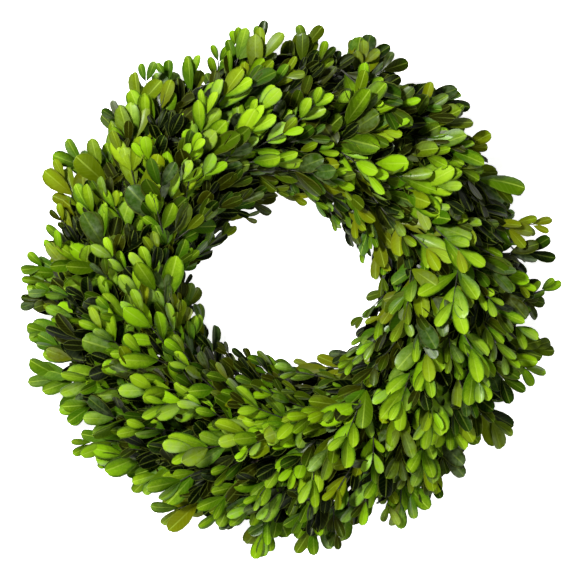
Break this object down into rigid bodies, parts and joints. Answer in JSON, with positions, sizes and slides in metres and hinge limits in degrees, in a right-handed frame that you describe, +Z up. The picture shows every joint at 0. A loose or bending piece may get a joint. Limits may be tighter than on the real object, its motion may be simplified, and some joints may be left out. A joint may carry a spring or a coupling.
{
  "type": "boxwood wreath",
  "caption": "Boxwood wreath of leafy bunches that all lean clockwise, wired in rows round a twisted cane ring.",
  "frame": {"origin": "middle of the wreath, at the level of the flats it lies on", "axes": "+Z up out of the wreath's face, along its ring's axis; +Y is the top of the wreath as it hangs"},
  "size_m": [0.4057, 0.4025, 0.081],
  "materials": {
    "leaf_light": "satin leaf, yellow-green",
    "leaf_mid": "satin leaf, mid green",
    "leaf_deep": "satin leaf, deep green",
    "cane": "matt bark",
    "wire": "dull annealed wire"
  },
  "bodies": {
    "root": {"base_ring": "cane", "binding_wire": "wire", "bunch_outer_01": "leaf_light", "bunch_outer_02": "leaf_mid", "bunch_outer_03": "leaf_deep", "bunch_outer_04": "leaf_light", "bunch_outer_05": "leaf_mid", "bunch_outer_06": "leaf_deep", "bunch_outer_07": "leaf_light", "bunch_outer_08": "leaf_mid", "bunch_outer_09": "leaf_deep", "bunch_outer_10": "leaf_light", "bunch_outer_11": "leaf_mid", "bunch_outer_12": "leaf_deep", "bunch_outer_13": "leaf_light", "bunch_outer_14": "leaf_mid", "bunch_crown_01": "leaf_deep", "bunch_crown_02": "leaf_light", "bunch_crown_03": "leaf_mid", "bunch_crown_04": "leaf_deep", "bunch_crown_05": "leaf_light", "bunch_crown_06": "leaf_mid", "bunch_crown_07": "leaf_deep", "bunch_crown_08": "leaf_light", "bunch_crown_09": "leaf_mid", "bunch_crown_10": "leaf_deep", "bunch_crown_11": "leaf_light", "bunch_crown_12": "leaf_mid", "bunch_inner_01": "leaf_deep", "bunch_inner_02": "leaf_light", "bunch_inner_03": "leaf_mid", "bunch_inner_04": "leaf_deep", "bunch_inner_05": "leaf_light", "bunch_inner_06": "leaf_mid", "bunch_inner_07": "leaf_deep", "bunch_inner_08": "leaf_light", "bunch_inner_09": "leaf_mid", "bunch_inner_10": "leaf_deep", "bunch_inner_11": "leaf_light", "bunch_inner_12": "leaf_mid", "bunch_inner_13": "leaf_deep", "bunch_inner_14": "leaf_light", "bunch_inner_15": "leaf_mid", "bunch_inner_16": "leaf_deep", "bunch_inner_17": "leaf_light", "bunch_inner_18": "leaf_mid", "bunch_inner_19": "leaf_deep", "bunch_inner_20": "leaf_light", "bunch_inner_21": "leaf_mid", "bunch_inner_22": "leaf_deep", "bunch_inner_23": "leaf_light", "bunch_inner_24": "leaf_mid", "bunch_inner_25": "leaf_deep", "bunch_inner_26": "leaf_light", "bunch_inner_27": "leaf_mid"}
  },
  "joints": []
}
